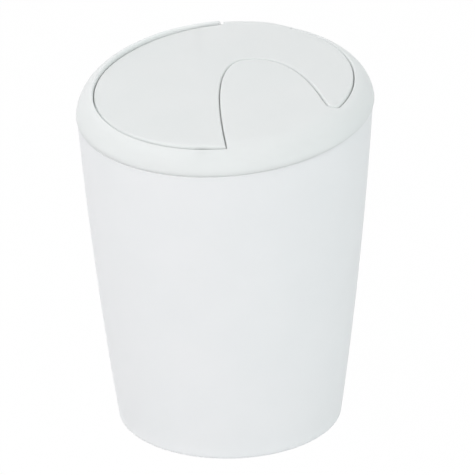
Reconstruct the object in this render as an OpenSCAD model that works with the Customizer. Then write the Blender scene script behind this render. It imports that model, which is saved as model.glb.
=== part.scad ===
// Countertop waste bin with a swing lid.
// A tapered round bucket is cut off along a slanted mouth. A lid ring with a rounded
// shoulder plugs into the mouth. An S-shaped swing flap fills the ring's opening and
// turns on two short pins: its broad left lobe is pushed down into the bin, its
// narrow right band rises, and a steel bar under the band brings it back.

/* [Bucket] */
// Height of the mouth plane on the bucket's axis
mouth_h = 160; // [140:1:190]
// Outer radius of the bucket at the mouth plane's height
mouth_r = 70; // [66:0.5:76]
// Outer radius of the bucket at its foot
foot_r = 55.5; // [50:0.5:62]
// How much the side wall bellies out, as a share of the taper
belly = 0.4; // [0:0.05:0.6]
// Slope of the mouth, rising to the back
mouth_tilt = 9.5; // [0:0.5:14]
// Wall thickness of the bucket
bucket_wall = 2; // [1.4:0.1:3]
// Thickness of the bucket's floor
floor_t = 2.5; // [1.8:0.1:4]
// Height of the floor's underside above the foot ring
foot_lift = 1.5; // [0.6:0.1:3]
// Width of the foot ring that the bucket stands on
foot_ring_w = 4; // [3:0.5:8]
// Radius of the outer edge at the foot
foot_edge_r = 1.2; // [0.5:0.1:3]

/* [Lid ring] */
// How far the lid ring stands out beyond the bucket's side
ring_proud = 0.75; // [0.5:0.25:3]
// Height of the lid's crown above the mouth plane on the lid's axis
crown_h = 11.8; // [10.5:0.1:16]
// Slope of the lid's crown beyond that of the mouth
crown_tilt = 1; // [0:0.25:2]
// Radius of the rounded shoulder
shoulder_r = 14; // [11:0.5:16]
// Wall thickness of the lid's shell
lid_wall = 2.2; // [1.6:0.1:2.6]
// How far the left rim has climbed above the crown at its blunt rear end
rim_climb = 1.6; // [0:0.1:3.5]
// Depth of the plug skirt below the mouth plane
skirt_depth = 8; // [5:0.5:14]
// Thickness of the plug skirt
skirt_t = 1.6; // [1:0.1:2.4]
// Radial clearance between the plug skirt and the bucket
skirt_clear = 0.3; // [0.2:0.05:0.6]
// Thickness of the flange that rests on the bucket's rim
seat_t = 2; // [1.4:0.1:3]
// Width of the bevel around the outer edge of the bucket's rim
seam_bevel = 0.6; // [0.2:0.1:1]

/* [Opening] */
// Width of the rim around the opening
rim_w = 9.2; // [8:0.2:12]
// Turn of the swirl pattern about the lid's axis
swirl_turn = 19.5; // [0:0.5:40]
// Thickness of the wall that hangs down around the opening
collar_t = 1.6; // [1.2:0.1:2.4]
// Height of the collar's lower edge above the mouth plane
collar_base = 3; // [2:0.25:5]
// Sideways place of the tip where the tongue's edge starts at the front
tip_x = 0.6; // [-3:0.2:4]
// Heading of the tongue's edge at the tip, left of straight back
tip_heading = 5.4; // [0:0.2:10]
// Reach of the curve from the tip
tip_reach = 48.4; // [40:0.5:54]
// Sideways place of the tongue's rounded top
top_x = 12; // [9:0.5:16]
// Place of the tongue's rounded top towards the back
top_y = 20.4; // [16:0.5:26]
// Reach of the curve on the left of the tongue's top
top_reach_left = 15.2; // [12:0.2:18]
// Reach of the curve on the right of the tongue's top
top_reach_right = 23.6; // [18:0.2:27]
// Radius of the rounded end of the opening's tail
tail_r = 4.4; // [3.4:0.1:6]
// Bearing of the tail's end about the lid's axis
tail_bearing = -28; // [-34:0.5:-22]
// Bearing on the tail's end at which the tongue's edge runs into it
tail_entry = 200; // [195:1:210]
// Reach of the curve where it runs into the tail's end
tail_reach = 5; // [2:0.5:10]

/* [Swing flap] */
// Gap between the flap and the opening
flap_gap = 0.8; // [0.5:0.05:1.2]
// Gap between the flap and the tongue at the tip
tip_gap = 1.5; // [1:0.1:2]
// Thickness of the flap's plate
flap_t = 2; // [1.4:0.1:2.6]
// Thickness of the edge that hangs down around the flap
flap_edge_t = 1.8; // [1.2:0.1:2.4]
// Height of that edge's lower side above the mouth plane
flap_base = 4.2; // [3.6:0.1:5]
// Radius that rounds over the flap's outer edge
flap_round_r = 2.5; // [1.8:0.1:3]
// Radius of the flap's gentle crown across the hinge line
flap_crown_r = 1200; // [900:50:3000]
// Depth by which the crown planes off the flap's disc at its ridge
flap_crown_cut = 0.3; // [0.1:0.05:0.6]
// How far the lip at the rear reaches over the rim
lip_w = 3; // [2:0.1:3.6]
// How far the lip's rounding lies outside that of the ring's shoulder
lip_proud = 1; // [0:0.05:1.5]
// Bearing at which the lip ends on the right
lip_bearing = 57; // [45:1:65]
// Clearance between the lip and the ledge that it rests on
lip_clear = 0.3; // [0.2:0.05:0.6]
// Thickness of the lip where it leaves the flap
lip_t = 1.9; // [1.6:0.1:2.2]
// Thickness of the stiffening ribs
rib_t = 1.4; // [1:0.1:2]

/* [Hinge] */
// Sideways place of the hinge line, left of the lid's axis
hinge_x = -11; // [-13:0.5:-10]
// Height of the hinge line above the mouth plane
hinge_h = 7; // [6.6:0.1:7.4]
// Radius of the hinge pins
pin_r = 1.4; // [1:0.1:1.6]
// Length of each hinge pin
pin_len = 13; // [10:0.5:16]
// Radial running clearance of a pin in the ring's bore
pin_clear = 0.06; // [0.02:0.01:0.1]
// Depth to which a pin enters the ring's collar
pin_seat = 3.4; // [2.4:0.1:3.8]
// Radius of the flap's bosses that hold the pins
boss_r = 2.8; // [2.4:0.1:3.2]
// Length of the flap's bosses
boss_len = 9; // [6:0.5:12]
// Radius about the hinge line of the rim's blunt end
rim_end_r = 8; // [6:0.1:9]
// Gap between the rim's blunt end and the flap's lip
end_gap = 0.7; // [0.5:0.05:1.4]

/* [Counterweight] */
// Distance of the curved steel bar's centre line from the opening's edge
weight_inset = 10.4; // [8.4:0.2:15]
// Width of the bar
weight_w = 7; // [4:0.5:9]
// Height of the bar
weight_h = 3.9; // [2:0.1:4.2]
// Bearing of the bar's front end
weight_from = -8; // [-10:1:5]
// Bearing of the bar's rear end
weight_to = 42; // [30:1:50]
// Clearance around the bar in its pocket
weight_clear = 0.1; // [0.05:0.05:0.3]
// Thickness of the pocket's walls
pocket_t = 1.2; // [0.8:0.1:1.6]

/* [Hidden] */
$fn = 120;
profile_steps = 14;
curve_steps = 16;
arc_steps = 10;
crown_facets = 720;
ring_r = mouth_r + ring_proud;
opening_r = ring_r - rim_w;
lip_r = opening_r + lip_w;
weight_path_r = opening_r - weight_inset;
big = 4 * ring_r;
blank_top = mouth_h + ring_r * tan(mouth_tilt) + seat_t;
run_out = tail_r + collar_t;
side_taper = (mouth_r - foot_r) * (1 - belly) / mouth_h;
mouth_shift = mouth_r * side_taper * tan(mouth_tilt);
lid_tilt = mouth_tilt + crown_tilt;
shoulder_centre_h = crown_h - shoulder_r;
shoulder_inner_r = ring_r - shoulder_r;
tip_angle = -acos(tip_x / opening_r);
tail_centre = (opening_r - tail_r) * [cos(tail_bearing), sin(tail_bearing)];
rim_climb_angle = atan(rim_climb / (2 * opening_r));
ledge_h = shoulder_top(opening_r) - lip_t - lip_clear;
pin_reach = sqrt(opening_r ^ 2 - hinge_x ^ 2);
flap_reach = sqrt((opening_r - flap_gap) ^ 2 - hinge_x ^ 2);
plate_under_h = crown_h - flap_t;
rear_bearing = 90;
recess_end = rear_bearing + asin(min(-hinge_x / opening_r, 1)) + 5;
ledge_end = rear_bearing - asin((hinge_x + rim_end_r) / opening_r) + 5;
rib_bearings = [-78, -60, -42];
rib_from = opening_r / 4;
rib_base = collar_base + 2;
cross_rib_y = opening_r / 3;
weight_top_h = plate_under_h - (weight_path_r + weight_w / 2) ^ 2 / (2 * flap_crown_r);
rib_top = plate_under_h + flap_t / 2;
white = [0.93, 0.935, 0.935];
steel = [0.62, 0.63, 0.65];

// Outer radius of the bucket at height z
function bucket_r(z) =
    let (t = z / mouth_h)
    foot_r + (mouth_r - foot_r) * (t + belly * t * (1 - t));

// Height of the rounded shoulder above the lid's plane at radius r
function shoulder_top(r) =
    shoulder_centre_h + sqrt(shoulder_r ^ 2 - max(r - ring_r + shoulder_r, 0) ^ 2);

// Points of the rounded outer edge at the bucket's foot, from the ground up to the side
function foot_points() =
    [for (i = [0 : arc_steps])
        let (a = 90 * i / arc_steps)
        [bucket_r(foot_edge_r) - foot_edge_r * (1 - sin(a)), foot_edge_r * (1 - cos(a))]];

// Points of the bucket's side moved inwards by inset, from height z0 to z1
function side_points(inset, z0, z1) =
    [for (i = [0 : profile_steps])
        let (z = z0 + (z1 - z0) * i / profile_steps)
        [bucket_r(z) - inset, z]];

function unit(v) = v / norm(v);
function turned_left(v) = [-v[1], v[0]];

// Points of a cubic curve, each moved to its left by off_a at the start and off_b at the end
function curve_points(p, off_a, off_b) =
    [for (i = [0 : curve_steps])
        let (
            t = i / curve_steps,
            s = 1 - t,
            point = s ^ 3 * p[0] + 3 * s ^ 2 * t * p[1] + 3 * s * t ^ 2 * p[2] + t ^ 3 * p[3],
            along = s ^ 2 * (p[1] - p[0]) + 2 * s * t * (p[2] - p[1]) + t ^ 2 * (p[3] - p[2])
        )
        point + (off_a * s + off_b * t) * turned_left(unit(along))];

// Edge of the tongue from the tip over its rounded top and round the tail's end,
// moved towards the flap by off_tip at the tip and by off elsewhere.
// Both ends run straight on across the opening's circle.
function swirl_points(off_tip, off) =
    let (
        tip = opening_r * [cos(tip_angle), sin(tip_angle)],
        heading = [-sin(tip_heading), cos(tip_heading)],
        top = [top_x, top_y],
        entry = [cos(tail_entry), sin(tail_entry)],
        tail_start = tail_centre + tail_r * entry,
        tail_turn = (360 + tail_bearing - tail_entry) / (arc_steps + 1),
        exit_angle = tail_entry + tail_turn * arc_steps,
        exit = [cos(exit_angle), sin(exit_angle)],
        rise = [tip, tip + tip_reach * heading, top - [top_reach_left, 0], top],
        fall = [top, top + [top_reach_right, 0], tail_start - tail_reach * turned_left(entry), tail_start]
    )
    concat(
        [tip + off_tip * turned_left(heading) - run_out * heading],
        curve_points(rise, off_tip, off),
        [for (i = [1 : curve_steps]) curve_points(fall, off, off)[i]],
        [for (i = [1 : arc_steps])
            let (a = tail_entry + tail_turn * i)
            tail_centre + (tail_r - off) * [cos(a), sin(a)]],
        [tail_centre + (tail_r - off) * exit + run_out * turned_left(exit)]
    );

// Places its children in the plane of the bucket's mouth
module on_mouth() {
    translate([0, 0, mouth_h])
        rotate([mouth_tilt, 0, 0])
            children();
}

// Places its children in the plane of the lid's crown, with Y along the hinge line
module on_lid() {
    translate([0, 0, mouth_h])
        rotate([lid_tilt, 0, 0])
            translate([0, mouth_shift, 0])
                rotate([0, 0, swirl_turn])
                    children();
}

// Half space above the mouth plane, from height h upwards
module above_mouth(h) {
    on_mouth()
        translate([-big / 2, -big / 2, h])
            cube(big);
}

// Slice between two heights above the mouth plane
module mouth_slice(h0, h1) {
    on_mouth()
        translate([-big / 2, -big / 2, h0])
            cube([big, big, h1 - h0]);
}

// Turned solid with a rounded shoulder, in the lid's plane
module dome(r, top, round_r, base) {
    rotate_extrude() {
        translate([0, base])
            square([r - round_r, top - base]);
        translate([0, base])
            square([r, top - round_r - base]);
        intersection() {
            translate([r - round_r, top - round_r])
                circle(round_r);
            translate([0, base])
                square([r, top - base]);
        }
    }
}

// Part of a turned ring with a rectangular section, between two bearings
module sector_ring(r0, r1, h0, h1, from, to) {
    rotate([0, 0, from])
        rotate_extrude(angle = to - from)
            translate([r0, h0])
                square([r1 - r0, h1 - h0]);
}

// Upright half space on the right of x
module right_of(x) {
    translate([x, -big / 2, -big / 2])
        cube(big);
}

// Cylinder about the hinge line
module about_hinge(r, y0, y1) {
    translate([hinge_x, y0, hinge_h])
        rotate([-90, 0, 0])
            cylinder(r = r, h = y1 - y0);
}

// Plan of the tongue, with its edge moved towards the flap
module tongue_plan(off_tip, off) {
    polygon(concat(
        swirl_points(off_tip, off),
        [
            big * [cos(tail_bearing), sin(tail_bearing)],
            big * [cos(tip_angle), sin(tip_angle)]
        ]
    ));
}

// Plan of the opening, or of the flap inside it
module opening_plan(gap_tip, gap) {
    difference() {
        circle(opening_r - gap);
        tongue_plan(gap_tip, gap);
    }
}

// Upright solid on the tongue's plan, grown towards the flap
module tongue_solid(off_tip, off) {
    translate([0, 0, -big / 2])
        linear_extrude(big)
            tongue_plan(off_tip, off);
}

// Solid that the opening's plan sweeps between two heights
module opening_solid(gap_tip, gap, h0, h1) {
    translate([0, 0, h0])
        linear_extrude(h1 - h0)
            opening_plan(gap_tip, gap);
}

module bucket() {
    color(white)
        difference() {
            rotate_extrude()
                difference() {
                    polygon(concat(
                        [[0, 0]],
                        foot_points(),
                        side_points(0, foot_edge_r, blank_top),
                        [[0, blank_top]]
                    ));
                    polygon(concat(
                        [[0, foot_lift + floor_t]],
                        side_points(bucket_wall, foot_lift + floor_t, blank_top + seat_t),
                        [[0, blank_top + seat_t]]
                    ));
                    translate([0, -floor_t])
                        square([foot_r - foot_ring_w, foot_lift + floor_t]);
                }
            above_mouth(0);
            rim_bevel();
        }
}

// Bevel around the outer edge of the bucket's rim
module rim_bevel() {
    intersection() {
        mouth_slice(-seam_bevel, seam_bevel);
        difference() {
            cylinder(r = big, h = blank_top);
            rotate_extrude()
                polygon(concat(
                    [[0, 0]],
                    side_points(seam_bevel, 0, blank_top),
                    [[0, blank_top]]
                ));
        }
    }
}

// Outer form of the lid ring: the dome, with its left rim climbing to the rear
module ring_blank() {
    dome(ring_r, crown_h, shoulder_r, -skirt_depth - seat_t);
    difference() {
        translate([0, -opening_r, crown_h])
            rotate([rim_climb_angle, 0, 0])
                translate([0, opening_r, -crown_h])
                    dome(ring_r, crown_h, shoulder_r, -skirt_depth);
        right_of(hinge_x + rim_end_r);
        rim_end_cut();
    }
}

// What the flap's lip sweeps over beside the rim's blunt end
module rim_end_cut() {
    difference() {
        translate([hinge_x, 0, hinge_h])
            cube([big, big, big]);
        about_hinge(rim_end_r, 0, big);
    }
}

module lid_ring() {
    color(white) {
        difference() {
            union() {
                ring_shell();
                ring_seat();
                on_lid()
                    ring_fittings();
            }
            on_lid() {
                lip_recess();
                pin_bores();
            }
        }
    }
}

// Roof of the ring and of the tongue, open where the flap lies
module ring_shell() {
    difference() {
        intersection() {
            on_lid()
                ring_blank();
            above_mouth(0);
        }
        on_lid() {
            dome(ring_r - lid_wall, crown_h - lid_wall, shoulder_r - lid_wall, -big);
            opening_solid(0, 0, 0, big);
        }
    }
}

// Room for the flap's lip in the ring's shoulder, with the flap's gap at the lip's front end
module lip_recess() {
    side_turn = flap_gap / lip_r * 180 / PI;
    difference() {
        sector_ring(opening_r - lip_clear, ring_r, ledge_h, big, lip_bearing - side_turn, recess_end);
        difference() {
            about_hinge(rim_end_r, 0, big);
            right_of(hinge_x + rim_end_r);
        }
        translate([hinge_x - big, 0, 0])
            cube([big, big, big]);
    }
}

// Flange that rests on the bucket's rim, with the plug skirt under it
module ring_seat() {
    skirt_gap = bucket_wall + skirt_clear;
    difference() {
        union() {
            intersection() {
                mouth_slice(0, seat_t);
                on_lid()
                    dome(ring_r - lid_wall / 2, crown_h - lid_wall / 2, shoulder_r - lid_wall / 2, -skirt_depth);
            }
            intersection() {
                mouth_slice(-skirt_depth, seat_t / 2);
                upright_fill(skirt_gap);
            }
        }
        upright_fill(skirt_gap + skirt_t);
    }
}

// Solid that follows the bucket's side, moved inwards
module upright_fill(inset) {
    rotate_extrude()
        polygon(concat(
            [[0, mouth_h / 2]],
            side_points(inset, mouth_h / 2, blank_top),
            [[0, blank_top]]
        ));
}

// Collar, tongue edge, ledge, lugs and ribs under the ring's roof
module ring_fittings() {
    intersection() {
        union() {
            collar();
            ledge();
            pin_lugs();
            tongue_ribs();
        }
        dome(ring_r - lid_wall / 2, crown_h - lid_wall / 2, shoulder_r - lid_wall / 2, 0);
    }
}

// Wall that hangs down around the whole opening
module collar() {
    difference() {
        translate([0, 0, collar_base])
            linear_extrude(crown_h - collar_base)
                difference() {
                    circle(opening_r + collar_t);
                    tongue_plan(-collar_t, -collar_t);
                }
        opening_solid(0, 0, 0, big);
    }
}

// Solid fill behind the collar, which the recess for the lip turns into a ledge
module ledge() {
    end_turn = lid_wall / lip_r * 180 / PI;
    sector_ring(
        opening_r + collar_t / 2,
        ring_r - lid_wall,
        ledge_h - lid_wall,
        crown_h,
        lip_bearing - end_turn,
        ledge_end
    );
}

// Lugs on the collar around the pins' ends
module pin_lugs() {
    for (y = [-pin_reach - pin_seat - lid_wall, pin_reach])
        difference() {
            about_hinge(boss_r, y, y + pin_seat + lid_wall);
            opening_solid(0, 0, 0, big);
        }
}

module pin_bores() {
    about_hinge(pin_r + pin_clear, -pin_reach - pin_seat, -pin_reach + collar_t);
    about_hinge(pin_r + pin_clear, pin_reach - collar_t, pin_reach + pin_seat);
}

// Ribs under the tongue
module tongue_ribs() {
    difference() {
        for (bearing = rib_bearings)
            rotate([0, 0, bearing])
                translate([rib_from, -rib_t / 2, rib_base])
                    cube([opening_r - rib_from, rib_t, crown_h - lid_wall / 2 - rib_base]);
        opening_solid(-collar_t / 2, -collar_t / 2, 0, big);
    }
}

// Disc with a rounded upper edge and a gentle crown across the hinge line
module flap_disc(inset, top, base) {
    intersection() {
        dome(opening_r - flap_gap - inset, top + flap_crown_cut, flap_round_r, base);
        flap_crown(top);
    }
}

// Gentle crown whose ridge runs along the middle of the flap at a height
module flap_crown(top) {
    translate([0, big, top - flap_crown_r])
        rotate([90, 0, 0])
            cylinder(r = flap_crown_r, h = 2 * big, $fn = crown_facets);
}

// Outer form of the flap, cut back where its ends rise beside the rim
module flap_body() {
    difference() {
        flap_disc(0, crown_h, flap_base);
        tongue_solid(tip_gap, flap_gap);
        about_hinge(rim_end_r + end_gap, flap_reach - end_gap / 2, big);
        about_hinge(crown_h - hinge_h + flap_gap, -big, -flap_reach);
    }
}

// Hollow under the flap's plate
module flap_hollow() {
    difference() {
        flap_disc(flap_edge_t, crown_h - flap_t, -flap_base);
        tongue_solid(tip_gap + flap_edge_t, flap_gap + flap_edge_t);
    }
}

// Lip that overlaps the ring at the rear
module flap_lip() {
    difference() {
        intersection() {
            dome(ring_r + lip_proud, crown_h + flap_crown_cut, shoulder_r, 0);
            flap_crown(crown_h);
            sector_ring(shoulder_inner_r, lip_r, ledge_h + lip_clear, big, lip_bearing, recess_end);
        }
        about_hinge(rim_end_r + end_gap, 0, big);
        translate([hinge_x - big, 0, 0])
            cube([big, big, big]);
    }
}

module swing_flap() {
    color(white)
        on_lid()
            difference() {
                union() {
                    difference() {
                        flap_body();
                        flap_hollow();
                    }
                    flap_lip();
                    intersection() {
                        flap_ribs();
                        flap_body();
                    }
                }
                weight_room(weight_clear, flap_base - weight_h, weight_top_h);
                about_hinge(pin_r, -flap_reach - flap_gap, -flap_reach + pin_len);
                about_hinge(pin_r, flap_reach - pin_len, flap_reach + flap_gap);
            }
}

// Bosses, hinge rib, cross ribs and the counterweight's pocket under the plate
module flap_ribs() {
    about_hinge(boss_r, -flap_reach, -flap_reach + boss_len);
    about_hinge(boss_r, flap_reach - boss_len, flap_reach);
    for (y = [-flap_reach, flap_reach - boss_len])
        translate([hinge_x - boss_r, y, hinge_h])
            cube([2 * boss_r, boss_len, rib_top - hinge_h]);
    translate([hinge_x - rib_t / 2, -flap_reach, hinge_h])
        cube([rib_t, 2 * flap_reach, rib_top - hinge_h]);
    for (y = [-cross_rib_y, cross_rib_y])
        translate([-opening_r, y - rib_t / 2, hinge_h])
            cube([opening_r + hinge_x, rib_t, rib_top - hinge_h]);
    weight_room(weight_clear + pocket_t, weight_top_h - weight_h + weight_clear, rib_top);
}

// Curved bar, grown on its sides, between two heights
module weight_room(grow, h0, h1) {
    turn = grow / weight_path_r * 180 / PI;
    sector_ring(
        weight_path_r - weight_w / 2 - grow,
        weight_path_r + weight_w / 2 + grow,
        h0,
        h1,
        weight_from - turn,
        weight_to + turn
    );
}

module counterweight() {
    color(steel)
        on_lid()
            translate([0, 0, weight_top_h - weight_h])
                sector_ring(
                    weight_path_r - weight_w / 2,
                    weight_path_r + weight_w / 2,
                    0,
                    weight_h,
                    weight_from,
                    weight_to
                );
}

module hinge_pin(y0) {
    color(steel)
        on_lid()
            about_hinge(pin_r, y0, y0 + pin_len);
}

module front_hinge_pin() {
    hinge_pin(-pin_reach - pin_seat + pin_clear);
}

module rear_hinge_pin() {
    hinge_pin(pin_reach + pin_seat - pin_clear - pin_len);
}

bucket();
lid_ring();
swing_flap();
front_hinge_pin();
rear_hinge_pin();
counterweight();
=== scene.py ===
"""Countertop waste bin with a swing lid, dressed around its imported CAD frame."""
import logging
import math
from dataclasses import dataclass
from enum import Enum
from typing import Sequence

import bmesh
import bpy
import numpy as np
from mathutils import Matrix, Vector


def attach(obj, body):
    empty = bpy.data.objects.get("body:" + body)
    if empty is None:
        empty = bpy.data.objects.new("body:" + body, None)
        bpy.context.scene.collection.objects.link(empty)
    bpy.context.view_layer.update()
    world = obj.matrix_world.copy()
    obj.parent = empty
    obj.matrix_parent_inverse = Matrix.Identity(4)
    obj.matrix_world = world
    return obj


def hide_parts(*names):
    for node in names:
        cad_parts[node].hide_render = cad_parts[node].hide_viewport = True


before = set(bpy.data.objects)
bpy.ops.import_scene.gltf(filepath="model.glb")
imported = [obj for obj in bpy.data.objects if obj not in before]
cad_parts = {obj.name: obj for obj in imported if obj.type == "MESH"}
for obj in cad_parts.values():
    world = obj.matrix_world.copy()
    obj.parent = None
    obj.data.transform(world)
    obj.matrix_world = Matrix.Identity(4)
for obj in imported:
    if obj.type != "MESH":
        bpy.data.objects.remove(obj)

LOG = logging.getLogger("bin")
MM = 0.001
IMAGE_PX = 475
SOLVE_STEPS = 30
RIM_SOLVE_STEPS = 12
NEARLY_ONE = 0.999
HAIR = 1e-3
TINY = 1e-9
Array = np.ndarray
Columns = dict[str, Array]
Grid = tuple[Array, bool, bool]


class Body(Enum):
    """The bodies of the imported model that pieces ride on."""

    BUCKET = "bucket"
    LID = "lid"
    FLAP = "flap"


class Slot(Enum):
    """Names of material slots, one listed for each sub-assembly; nothing in the script reads them."""

    BUCKET = "bucket"
    LID_RING = "lid_ring"
    SWING_FLAP = "swing_flap"


# ---------------------------------------------------------------------------
# Sizes and frames
# ---------------------------------------------------------------------------


@dataclass(frozen=True)
class BinSizes:
    """The driving sizes that the bucket, the lid ring and the flap share, in millimetres and degrees."""

    mouth_h: float = 160.0
    mouth_r: float = 70.0
    foot_r: float = 55.5
    belly: float = 0.4
    mouth_tilt: float = 9.5
    crown_tilt: float = 1.0
    swirl_turn: float = 19.5
    ring_r: float = 70.75
    crown_h: float = 11.8
    shoulder_r: float = 14.0
    opening_r: float = 61.55
    hinge_x: float = -11.0
    hinge_h: float = 7.0

    @property
    def lid_shift(self) -> float:
        """Shift of the crown's axis up the slope, where the tapered bucket's mouth has its middle."""
        taper = (self.mouth_r - self.foot_r) * (1 - self.belly) / self.mouth_h
        return self.mouth_r * taper * math.tan(math.radians(self.mouth_tilt))

    @property
    def shoulder_flat_r(self) -> float:
        """Radius at which the flat crown turns into the shoulder."""
        return self.ring_r - self.shoulder_r

    @property
    def shoulder_mid_h(self) -> float:
        """Height of the shoulder arc's centre."""
        return self.crown_h - self.shoulder_r

    @property
    def hinge_reach(self) -> float:
        """Half the length of the hinge line inside the opening."""
        return math.sqrt(self.opening_r**2 - self.hinge_x**2)

    def bucket_r(self, z: Array) -> Array:
        """Outer radius of the bucket at height z: a straight taper plus a parabola of belly.

        Args:
            z: heights above the foot, in millimetres.

        Returns:
            Radii in millimetres.
        """
        t = np.asarray(z) / self.mouth_h
        return self.foot_r + (self.mouth_r - self.foot_r) * (t + self.belly * t * (1 - t))

    def mouth_z(self, y: Array, lift: float = 0.0) -> Array:
        """Height of the slanted mouth plane, raised along its own normal by lift.

        Args:
            y: places up the slope in the object's frame, in millimetres.
            lift: distance above the plane, square to it.

        Returns:
            Heights in millimetres.
        """
        tilt = math.radians(self.mouth_tilt)
        return self.mouth_h + np.asarray(y) * math.tan(tilt) + lift / math.cos(tilt)

    def lid_to_object(self, x: Array, y: Array, z: Array) -> Array:
        """Turns lid coordinates, with Y along the hinge line, into the object's frame.

        Args:
            x, y, z: coordinates in the lid's plane, in millimetres.

        Returns:
            Points with the three coordinates on the last axis.
        """
        turn, tilt = math.radians(self.swirl_turn), math.radians(self.mouth_tilt + self.crown_tilt)
        x, y, z = np.broadcast_arrays(x, y, z)
        across = x * math.cos(turn) - y * math.sin(turn)
        uphill = x * math.sin(turn) + y * math.cos(turn) + self.lid_shift
        return np.stack([
            across,
            uphill * math.cos(tilt) - z * math.sin(tilt),
            uphill * math.sin(tilt) + z * math.cos(tilt) + self.mouth_h,
        ], axis=-1)

    def mouth_in_lid(self, x: Array, y: Array) -> Array:
        """Height of the mouth plane in lid coordinates, below the point (x, y).

        Args:
            x, y: plan coordinates in the lid's plane, in millimetres.

        Returns:
            Heights in millimetres; they fall as the crown's own tilt takes the plane away.
        """
        turn = math.radians(self.swirl_turn)
        uphill = x * math.sin(turn) + y * math.cos(turn) + self.lid_shift
        return -math.tan(math.radians(self.crown_tilt)) * uphill


# ---------------------------------------------------------------------------
# Mesh helpers
# ---------------------------------------------------------------------------


class MeshKit:
    """Turns grids of points into finished, closed mesh objects."""

    SHARP_ANGLE = math.radians(38)
    WELD = 2e-6

    @staticmethod
    def grid_faces(rows: int, cols: int, wrap_rows: bool, wrap_cols: bool, start: int = 0) -> Array:
        """Quads of a grid of points stored row by row.

        Args:
            rows, cols: size of the grid.
            wrap_rows, wrap_cols: whether the last row or column joins the first.
            start: index of the grid's first point.

        Returns:
            An array of four indices for each quad.
        """
        i = np.arange(rows if wrap_rows else rows - 1)
        j = np.arange(cols if wrap_cols else cols - 1)
        ii, jj = np.meshgrid(i, j, indexing="ij")
        i1, j1 = (ii + 1) % rows, (jj + 1) % cols
        quads = np.stack([ii * cols + jj, ii * cols + j1, i1 * cols + j1, i1 * cols + jj], axis=-1)
        return quads.reshape(-1, 4) + start

    @classmethod
    def build(cls, name: str, grids: Sequence[Grid]) -> bpy.types.Object:
        """Makes one object from grids of points in millimetres.

        Args:
            name: name of the object and its mesh.
            grids: (points, wrap_rows, wrap_cols) for each grid, points with shape (rows, cols, 3).

        Returns:
            The finished object, at the origin and unturned.
        """
        points, faces, start = [], [], 0
        for grid, wrap_rows, wrap_cols in grids:
            rows, cols = grid.shape[:2]
            points.append(grid.reshape(-1, 3) * MM)
            faces.append(cls.grid_faces(rows, cols, wrap_rows, wrap_cols, start))
            start += rows * cols
        mesh = bpy.data.meshes.new(name)
        mesh.from_pydata(np.concatenate(points).tolist(), [], np.concatenate(faces).tolist())
        work = bmesh.new()
        work.from_mesh(mesh)
        bmesh.ops.remove_doubles(work, verts=work.verts, dist=cls.WELD)
        bmesh.ops.dissolve_degenerate(work, edges=work.edges, dist=cls.WELD)
        bmesh.ops.recalc_face_normals(work, faces=work.faces)
        work.to_mesh(mesh)
        work.free()
        mesh.polygons.foreach_set("use_smooth", np.ones(len(mesh.polygons), dtype=bool))
        mesh.set_sharp_from_angle(angle=cls.SHARP_ANGLE)
        mesh.update()
        piece = bpy.data.objects.new(name, mesh)
        bpy.context.scene.collection.objects.link(piece)
        return piece


def ease(t: Array) -> Array:
    """Smooth step from 0 to 1: three t squared less two t cubed."""
    t = np.clip(t, 0.0, 1.0)
    return t * t * (3 - 2 * t)


def shares(count: int) -> Array:
    """Even shares from 0 to 1 without the 0, where the row before has it."""
    return np.linspace(0.0, 1.0, count)[1:]


def quarter(count: int) -> Array:
    """Even angles over a quarter turn without the 0, where the row before has it."""
    return np.linspace(0.0, math.pi / 2, count)[1:]


def plate_on_edge(s: BinSizes, start: Array, end: Array, thick: float, low: float, high: float) -> Grid:
    """A thin plate that stands on edge: a rectangle carried between two plan points.

    Args:
        s: the bin's sizes.
        start, end: plan points in lid coordinates.
        thick: its thickness.
        low, high: heights of its edges.

    Returns:
        A closed grid of points with its wrap flags.
    """
    along = (end - start) / np.linalg.norm(end - start)
    side = np.array([-along[1], along[0]])
    ring = np.array([(-thick / 2, low), (thick / 2, low), (thick / 2, high), (-thick / 2, high)])
    mid_z = (low + high) / 2
    rows = []
    for point, scale in ((start, 0.0), (start, 1.0), (end, 1.0), (end, 0.0)):
        p = point + side * (ring[:, :1] * scale)
        rows.append(s.lid_to_object(p[:, 0], p[:, 1], mid_z + (ring[:, 1] - mid_z) * scale))
    return np.stack(rows), False, True


# ---------------------------------------------------------------------------
# What the sub-assemblies share
# ---------------------------------------------------------------------------


class SubAssembly:
    """A sub-assembly whose finer surface stands for one CAD node."""

    BODY: Body
    SLOT: Slot
    NODE: str

    def build(self) -> bpy.types.Object:
        """Builds the surface, in each sub-assembly's own way."""
        raise NotImplementedError

    def dress(self, finish: bpy.types.Material) -> None:
        """Builds the piece, gives it its finish and body, and hides the CAD node that it stands for.

        Args:
            finish: the material of the piece.
        """
        piece = self.build()
        piece.data.materials.clear()
        piece.data.materials.append(finish)
        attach(piece, self.BODY.value)
        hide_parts(self.NODE)
        LOG.info("%s: %d faces, rides on %s", piece.name, len(piece.data.polygons), self.BODY.value)


# ---------------------------------------------------------------------------
# The swirl: the S-shaped line between the tongue and the flap
# ---------------------------------------------------------------------------


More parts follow.
